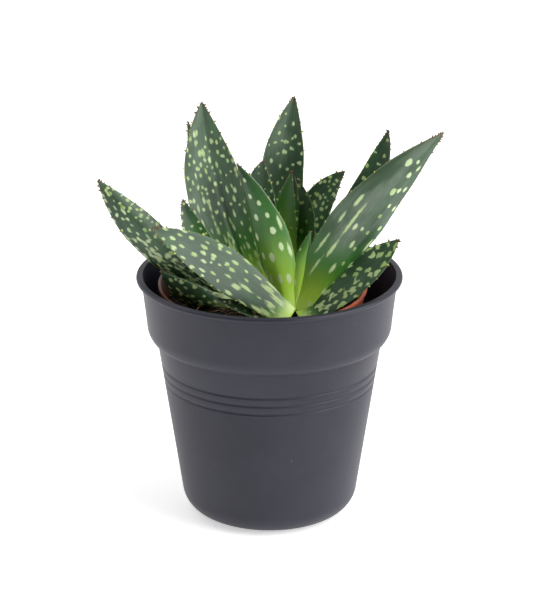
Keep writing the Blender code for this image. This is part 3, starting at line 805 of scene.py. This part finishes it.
def scatterSpots(name, leaf, length, chance):
    # spots keep apart from each other, and are longer towards the leaf's root
    spots = []
    area = leaf["width"] * length / mm * 0.72 / 100
    stretch = leaf.get("stretch", 1.8)
    last = leaf.get("lastSpot", 0.94)
    for side, along, wide, long in placedSpots.get(name, ()):
        half = float(halfWidth(leaf, along)) / mm
        shade = leaf["white"] + chance.uniform(-0.2, 0.2)
        wide *= leafMesh["placedWidth"]
        spots.append((side * half, along * length / mm, wide, long, shade, 1))
    for under in (0,) if spots else (0, 1):
        taken = np.full((1, 2), -50.0)
        for index in range(int(area * leaf["spots"])):
            # of a few random places, the one that is furthest from the spots there are
            best, place = -1, None
            for tried in range(leafMesh["tries"]):
                along = chance.uniform(0.03, last)
                half = float(halfWidth(leaf, along)) / mm
                x, y = chance.uniform(-1, 1) * half, along * length / mm
                away = np.hypot(taken[:, 0] - x, (taken[:, 1] - y) * 0.6).min()
                away *= 0.5 + half / leaf["width"]
                if away > best:
                    best, place = away, (x, y, along)
            x, y, along = place
            low = max(0.5 - along, 0) / 0.5
            wide = leaf["spotSize"] * chance.uniform(0.6, 1.25) * (1 - 0.15 * low)
            long = wide * chance.uniform(1.2, stretch) * (1 + 1.2 * low)
            shade = leaf["white"] + chance.uniform(-0.25, 0.25)
            if "streak" in leaf:
                # long and pale on one side of this line, short and yellow on the other
                streaked = x > leaf["streak"] * float(halfWidth(leaf, along)) / mm
                long *= 1 + 0.9 * (1 - along) if streaked else 0.7
                wide *= 0.8 if streaked else 1.1
                shade += 0.2 if streaked else -0.3
            spots.append((x, y, wide, long, shade, under))
            taken = np.vstack([taken, (x, y)])
            if chance.random() < 0.3:
                # a smaller neighbour beside it
                x += chance.choice((-1, 1)) * wide * chance.uniform(1.6, 2.1)
                y += chance.gauss(0, 0.5) * wide
                spots.append((x, y, 0.75 * wide, 0.75 * long, shade, under))
    for along in leaf.get("thorns", ()):
        half = float(halfWidth(leaf, along)) / mm
        spots.append((leaf["keel"][0] * half, along * length / mm, 0.75, 1.1, 0, 1))
    return spots


def makeLeafMesh(name, leaf, foot):
    length = leafLength(leaf)
    chance = random.Random(name)
    leaf["phase"] = chance.uniform(0, 6)
    stations = int(length / mm / leafMesh["stationGap"])
    half = max(16, int(leaf["width"] / leafMesh["sideGap"]))
    around = 2 * half
    along = np.linspace(0, leafMesh["lastStation"], stations)
    even = np.linspace(1, -1, half + 1)
    over = np.arccos(0.7 * even + 0.3 * np.cos(np.linspace(0, math.pi, half + 1)))
    angle = np.concatenate([over[:-1], (math.tau - over)[:0:-1]])
    grid = leafPoint(leaf, foot, along[:, None], angle[None, :])
    tip = midrib(leaf, foot, np.array(1.0))[0]
    root = grid[0].mean(axis=0)
    verts = np.concatenate([grid.reshape(-1, 3), [tip, root]])
    tipIndex, rootIndex = len(verts) - 2, len(verts) - 1
    faces, corners = [], []
    # each corner's place on the unrolled leaf: millimetres round it and along it
    girth = 2 * leaf["width"]
    for s in range(stations - 1):
        for a in range(around):
            b = (a + 1) % around
            faces.append((s * around + a, (s + 1) * around + a, (s + 1) * around + b, s * around + b))
            corners += [(a, s), (a, s + 1), (a + 1, s + 1), (a + 1, s)]
    for a in range(around):
        b = (a + 1) % around
        last = (stations - 1) * around
        faces.append((last + a, tipIndex, last + b))
        corners += [(a, stations - 1), (a + 0.5, stations), (a + 1, stations - 1)]
        faces.append((b, rootIndex, a))
        corners += [(a + 1, 0), (a + 0.5, -1), (a, 0)]
    mesh = bpy.data.meshes.new(name + "Blade")
    mesh.from_pydata(verts.tolist(), [], faces)
    place = np.array(corners, float) * (girth / around, length / mm / stations)
    layer = mesh.uv_layers.new(name="leafMap")
    layer.uv.foreach_set("vector", (place / 100).astype(np.float32).ravel())
    paintLeaf(mesh, name, leaf, length, along, angle, chance)
    return mesh


def paintLeaf(mesh, name, leaf, length, along, angle, chance):
    # values on the vertices that the skin reads: distance to a spot and its tone, distance to the margin,
    # how young, dry and near the root the leaf is, and how much grey haze it has, partly its own waxy coat
    # and partly painted sheen
    side = np.cos(angle)[None, :]
    half = halfWidth(leaf, along)[:, None] / mm
    x = side * half
    y = np.broadcast_to(along[:, None] * length / mm, x.shape)
    under = np.broadcast_to(np.sin(angle)[None, :] < -1e-6, x.shape)
    nearest = np.full(x.shape, 1e3)
    tone = np.zeros(x.shape)
    pull = np.full(x.shape, 1e-9)
    for cx, cy, wide, long, shade, below in scatterSpots(name, leaf, length, chance):
        distance = (np.hypot((x - cx) / wide, (y - cy) / long) - 1) * wide
        distance = np.where(under == bool(below), distance, 1e3)
        tone = np.where(distance < nearest, shade, tone)
        nearest = np.minimum(nearest, distance)
        pull += np.exp(-leafMesh["merge"] * np.minimum(distance, 20))
    spot = np.minimum(-np.log(pull) / leafMesh["merge"], leafMesh["reach"])
    uneven = np.sin(x * 1.9 + 1.3 * np.sin(y * 0.83 + leaf["phase"])) * np.sin(y * 1.27 + 2 * np.sin(x * 0.7))
    spot = spot - leaf.get("uneven", 0.25) * 0.4 * uneven
    edge = np.clip(half * (1 - np.abs(side)), 0, 5)
    young = np.clip(1 - along[:, None] / max(leaf["green"], 0.02), 0, 1) * (leaf["green"] > 0)
    young = young * (0.85 + 0.15 * (1 - side**2))
    dry = smoothStep(along[:, None] + 0 * side, 0.97, 1.0)
    foot = 1 - smoothStep(along[:, None] * length / mm + 0 * side, 0, 11)
    foot = foot * (0.45 + 0.55 * smoothStep(np.abs(side), 0.2, 1))
    reach = smoothStep(along[:, None] + 0 * side, 0.1, 0.4)
    # grey haze laid along one side of the leaf: partly its own waxy coat, partly a painted sheen where the
    # light falls
    hazeAndSheenSide = leaf.get("hazeAndSheenSide", 0.5 * math.sin(leaf["phase"]))
    bloom = leaf.get("bloom", 0.4) * reach * np.exp(-(((side - hazeAndSheenSide) / 0.75) ** 2))
    for key, values, end in (("spot", spot, leafMesh["reach"]), ("tone", tone, 0), ("edge", edge, 0),
                             ("young", young, 0), ("dry", dry, 1), ("bloom", bloom, 0.3), ("foot", foot, 0)):
        setValues(mesh, key, np.concatenate([values.ravel(), [end, values[0].mean()]]))


def leafSkin():
    material, tree = startMaterial("aloeSkin")
    flat = tree.add("UVMap", {"uv_map": "leafMap"}, {})  # tenths of a metre on the unrolled leaf

    def read(name):
        return tree.add("Attribute", {"attribute_name": name}, {}, "Fac")

    clouds = flat.stretched(1, 0.4, 1).noise(8, 3, 0.55)
    lines = flat.stretched(1, 0.03, 1).noise(260, 3, 0.6)  # veins run with the leaf
    grit = flat.noise(420, 2, 0.6)
    ragged = flat.stretched(1, 0.4, 1).noise(120, 2, 0.6)
    colour = clouds.step(0.38, 0.66).mix(skin["deep"], skin["green"])
    # painted sheen and real waxy haze, mixed into the leaf colour; the same colour also tints the vein
    # streaks
    hazeAndSheenShare = read("bloom") * (0.3 + 0.7 * (clouds + 0.25 * (lines - 0.5)).step(0.38, 0.66))
    colour = hazeAndSheenShare.clamped().mix(colour, skin["bloom"])
    colour = (lines.step(0.48, 0.72) * 0.12).mix(colour, skin["bloom"])
    youth = read("young")
    colour = youth.step(0.0, 0.55).mix(colour, skin["fresh"])
    youngest = (lines + 0.5 * (clouds - 0.5)).step(0.3, 0.8).mix(skin["young"], skin["youngEdge"])
    colour = youth.step(0.4, 1.0).mix(colour, youngest)
    colour = (grit.step(0.64, 0.82) * 0.12).mix(colour, skin["spotWhite"])  # fine pale freckles
    edge = read("edge")
    rim = (1 - (edge + 0.6 * ragged - 0.3).step(0.05, 0.6)) * 0.34
    colour = rim.mix(colour, skin["margin"])
    pale = (read("foot") + 0.2 * (lines - 0.5)).clamped()
    colour = (pale * 0.75).mix(colour, skin["base"])
    spot = read("spot") + 0.5 * (ragged - 0.5) + 0.2 * (grit - 0.5)
    mask = 1 - spot.step(-0.22, 0.26)
    shade = (read("tone") + 0.3 * (lines - 0.5)).clamped().mix(skin["spotYellow"], skin["spotWhite"])
    colour = (mask * (0.78 + 0.25 * clouds)).clamped().mix(colour, shade)
    colour = read("dry").mix(colour, skin["dryTip"])
    roughness = 0.28 + 0.14 * clouds + 0.1 * mask + 0.08 * grit
    height = lines * 0.3 + mask * 0.3 + grit * 0.25
    setSurface(material, colour, roughness, height, (0.3, 0.0003), Specular_IOR_Level=0.55,
               Subsurface_Weight=0.05, Subsurface_Scale=0.002)
    return material


teeth = {
    "gap": 6.6,
    "gapAtTip": 1.5,
    "length": (0.55, 1.25),
    "radius": 0.40,
    "rings": 5,
    "sides": 7,
    "first": 0.16,
    "last": 0.99,
}


def toothFinish():
    material, tree = startMaterial("marginTeeth")
    ripe = tree.add("Attribute", {"attribute_name": "ripe"}, {}, "Fac")
    place = tree.add("TexCoord", {}, {}, "Object")
    grain = place.noise(1600, 2)
    brown = (ripe + 0.25 * (grain - 0.5)).clamped().step(0.35, 0.75)
    colour = brown.mix(skin["toothYellow"], skin["toothBrown"])
    setSurface(material, colour, 0.45, grain, (0.15, 0.0001))
    return material


def addTooth(verts, faces, ripeness, base, outward, forward, size, age):
    # a horn that starts inside the leaf and hooks towards its tip
    second = unit(np.cross(outward, forward))
    first = np.cross(second, outward)
    start = len(verts)
    for ring in range(teeth["rings"]):
        share = ring / teeth["rings"]
        centre = base + outward * size * (share - 0.3) + forward * size * 0.45 * share**2
        radius = teeth["radius"] * mm * (size / mm) * (1 - share) ** 0.9
        for side in range(teeth["sides"]):
            angle = math.tau * side / teeth["sides"]
            spread = first * 1.35 * math.cos(angle) + second * 0.75 * math.sin(angle)
            verts.append(centre + spread * radius)
            ripeness.append(age + 0.35 * share)
    verts.append(base + outward * size * 0.7 + forward * size * 0.45)
    ripeness.append(age + 0.6)
    sides = teeth["sides"]
    for ring in range(teeth["rings"] - 1):
        low = start + ring * sides
        for side in range(sides):
            after = (side + 1) % sides
            faces.append((low + side, low + sides + side, low + sides + after, low + after))
    last = start + (teeth["rings"] - 1) * sides
    for side in range(sides):
        faces.append((last + side, len(verts) - 1, last + (side + 1) % sides))
    faces.append(tuple(start + side for side in range(sides)))


def makeTeeth(name, leaf, foot, material):
    length = leafLength(leaf) / mm
    chance = random.Random(name + "teeth")
    verts, faces, ripeness = [], [], []
    for margin in (0.0, math.pi):
        y = teeth["first"] * length
        while y < teeth["last"] * length:
            along = y / length
            base = leafPoint(leaf, foot, np.array(along), np.array(margin))
            point, direction, across, upward = midrib(leaf, foot, np.array(along))
            tilt = np.array([chance.uniform(-0.25, 0.25) for axis in range(3)])
            outward = unit(across * math.cos(margin) + direction * 0.15 + upward * 0.1 + tilt)
            size = chance.uniform(*teeth["length"]) * mm * (0.55 + 0.45 * min(1, leaf["width"] / 18))
            size *= 0.6 + 0.75 * float(smoothStep(np.array(along), 0.2, 0.95))
            age = float(smoothStep(np.array(along + chance.uniform(-0.15, 0.15)), 0.5, 0.9)) * 0.62
            addTooth(verts, faces, ripeness, base, outward, direction, size, age)
            near = smoothStep(np.array(along), 0.78, 0.98)
            y += (teeth["gap"] * (1 - near) + teeth["gapAtTip"] * near) * chance.uniform(0.6, 1.4)
    for along in leaf.get("thorns", ()):
        angle = np.array(math.tau - math.acos(leaf["keel"][0]))
        base = leafPoint(leaf, foot, np.array(along), angle)
        point, direction, across, upward = midrib(leaf, foot, np.array(along))
        addTooth(verts, faces, ripeness, base, -upward, direction, 1.0 * mm, 0.1 + 0.4 * along)
    mesh = bpy.data.meshes.new(name + "Teeth")
    mesh.from_pydata([tuple(vert) for vert in verts], [], faces)
    setValues(mesh, "ripe", ripeness)
    return addPiece(name + "_teeth", mesh, material, ())


stem = {
    "aboveSoil": 5,
    "inSoil": 14,
    "radius": 5.5,
    "topRadius": 3.5,
    "scars": 7,
    "scarDepth": 0.22,
    "colour": (0.30, 0.36, 0.12),
    "scar": (0.13, 0.09, 0.045),
}


def stemFinish():
    material, tree = startMaterial("stemSkin")
    place = tree.add("TexCoord", {}, {}, "Object")
    lines = place.stretched(1, 1, 0.2).noise(500, 4, 0.6)
    blotch = place.noise(190, 3, 0.6)
    colour = blotch.step(0.42, 0.66).mix(stem["colour"], stem["scar"])
    setSurface(material, colour, 0.6, lines, (0.5, 0.0002))
    return material


def makeStem(plant, foot, material):
    # rings round it are the scars of old leaves
    profile = [(0, -stem["inSoil"] * mm)]
    count = stem["scars"] * 6
    for index in range(count + 1):
        share = index / count
        radius = stem["radius"] + (stem["topRadius"] - stem["radius"]) * share
        radius -= stem["scarDepth"] * (share * stem["scars"] % 1)
        height = -stem["inSoil"] + (stem["inSoil"] + stem["aboveSoil"]) * share
        profile.append((radius * mm, height * mm))
    profile.append((0, stem["aboveSoil"] * mm))
    mesh = turned(plant + "Stem", profile, 48)
    mesh.transform(Matrix.Translation(Vector(foot)))
    return addPiece(plant + "_stalk", mesh, material, [plant + "_stem"])


def makePlants():
    feet = leafFeet()
    finish = leafSkin()
    horn = toothFinish()
    bark = stemFinish()
    for plant, foot in feet.items():
        makeStem(plant, foot, bark)
    for name, leaf in leaves.items():
        foot = feet[leaf["plant"]]
        addPiece(name + "_blade", makeLeafMesh(name, leaf, foot), finish, [name])
        makeTeeth(name, leaf, foot, horn)


# camera distances in metres, angles in degrees
studio = {
    "distance": 1.46883,
    "height": 0.64356,
    "side": 0.0027,
    "pitch": 19.972,
    "lens": 193.94,
    "floor": (0.90, 0.90, 0.90),
    "glow": 0.50,
    "world": 0.80,
    "front": 0.16,
    "toRight": 0.24,
    "lights": {
        "key": dict(power=2.2, spread=55, turn=(50, 0, 72)),
        "fill": dict(power=0.5, spread=60, turn=(58, 0, -110)),
        "side": dict(power=1.5, spread=60, turn=(82, 0, 66)),  # low, for the sheen on the pot's right
    },
}


def makeStudio():
    mesh = bpy.data.meshes.new("floor")
    shape = bmesh.new()
    bmesh.ops.create_circle(shape, cap_ends=True, segments=96, radius=6)
    shape.to_mesh(mesh)
    shape.free()
    floor = bpy.data.objects.new("studio_floor", mesh)
    bpy.context.scene.collection.objects.link(floor)
    material, tree = startMaterial("studioFloor")
    grain = tree.add("TexCoord", {}, {}, "Object").noise(6, 2)
    paler = [channel * 1.02 for channel in studio["floor"]]
    setSurface(material, grain.mix(studio["floor"], paler), 0.8, Emission_Color=(1, 1, 1, 1),
               Emission_Strength=studio["glow"])
    mesh.materials.append(material)

    # a white room that is darker behind the camera and brighter to the right
    world = bpy.data.worlds.new("studio")
    world.use_nodes = True
    room = Wire(world.node_tree)
    heading = room.add("TexCoord", {}, {}, "Generated")
    right = heading.add("SeparateXYZ", {}, {"Vector": heading}, "X")
    back = heading.add("SeparateXYZ", {}, {"Vector": heading}, "Y")
    behind = (back + studio["toRight"] * right).step(-0.9, 0.1)
    dark = [studio["front"]] * 3
    background = world.node_tree.nodes["Background"]
    world.node_tree.links.new(behind.mix(dark, (1, 1, 1)).socket, background.inputs["Color"])
    background.inputs["Strength"].default_value = studio["world"]
    bpy.context.scene.world = world

    for name, values in studio["lights"].items():
        light = bpy.data.lights.new(name, "SUN")
        light.energy = values["power"]
        light.angle = math.radians(values["spread"])
        lamp = bpy.data.objects.new(name, light)
        lamp.rotation_euler = [math.radians(angle) for angle in values["turn"]]
        bpy.context.scene.collection.objects.link(lamp)

    lens = bpy.data.cameras.new("camera")
    lens.lens = studio["lens"]
    lens.sensor_width = 36
    lens.clip_start = 0.05
    camera = bpy.data.objects.new("camera", lens)
    camera.location = (studio["side"], -studio["distance"], studio["height"])
    camera.rotation_euler = (math.radians(90 - studio["pitch"]), 0, 0)
    bpy.context.scene.collection.objects.link(camera)
    bpy.context.scene.camera = camera
    bpy.context.scene.view_settings.view_transform = "Standard"


makeStudio()
print("studio set")
makeOuterPot()
inner = innerSizes()
makeInnerPot(inner)
print("pots made")
makePlants()
print("plants made")
makeSoil(inner)
makeLumps(inner)
makeFibres(inner)
print("soil made")
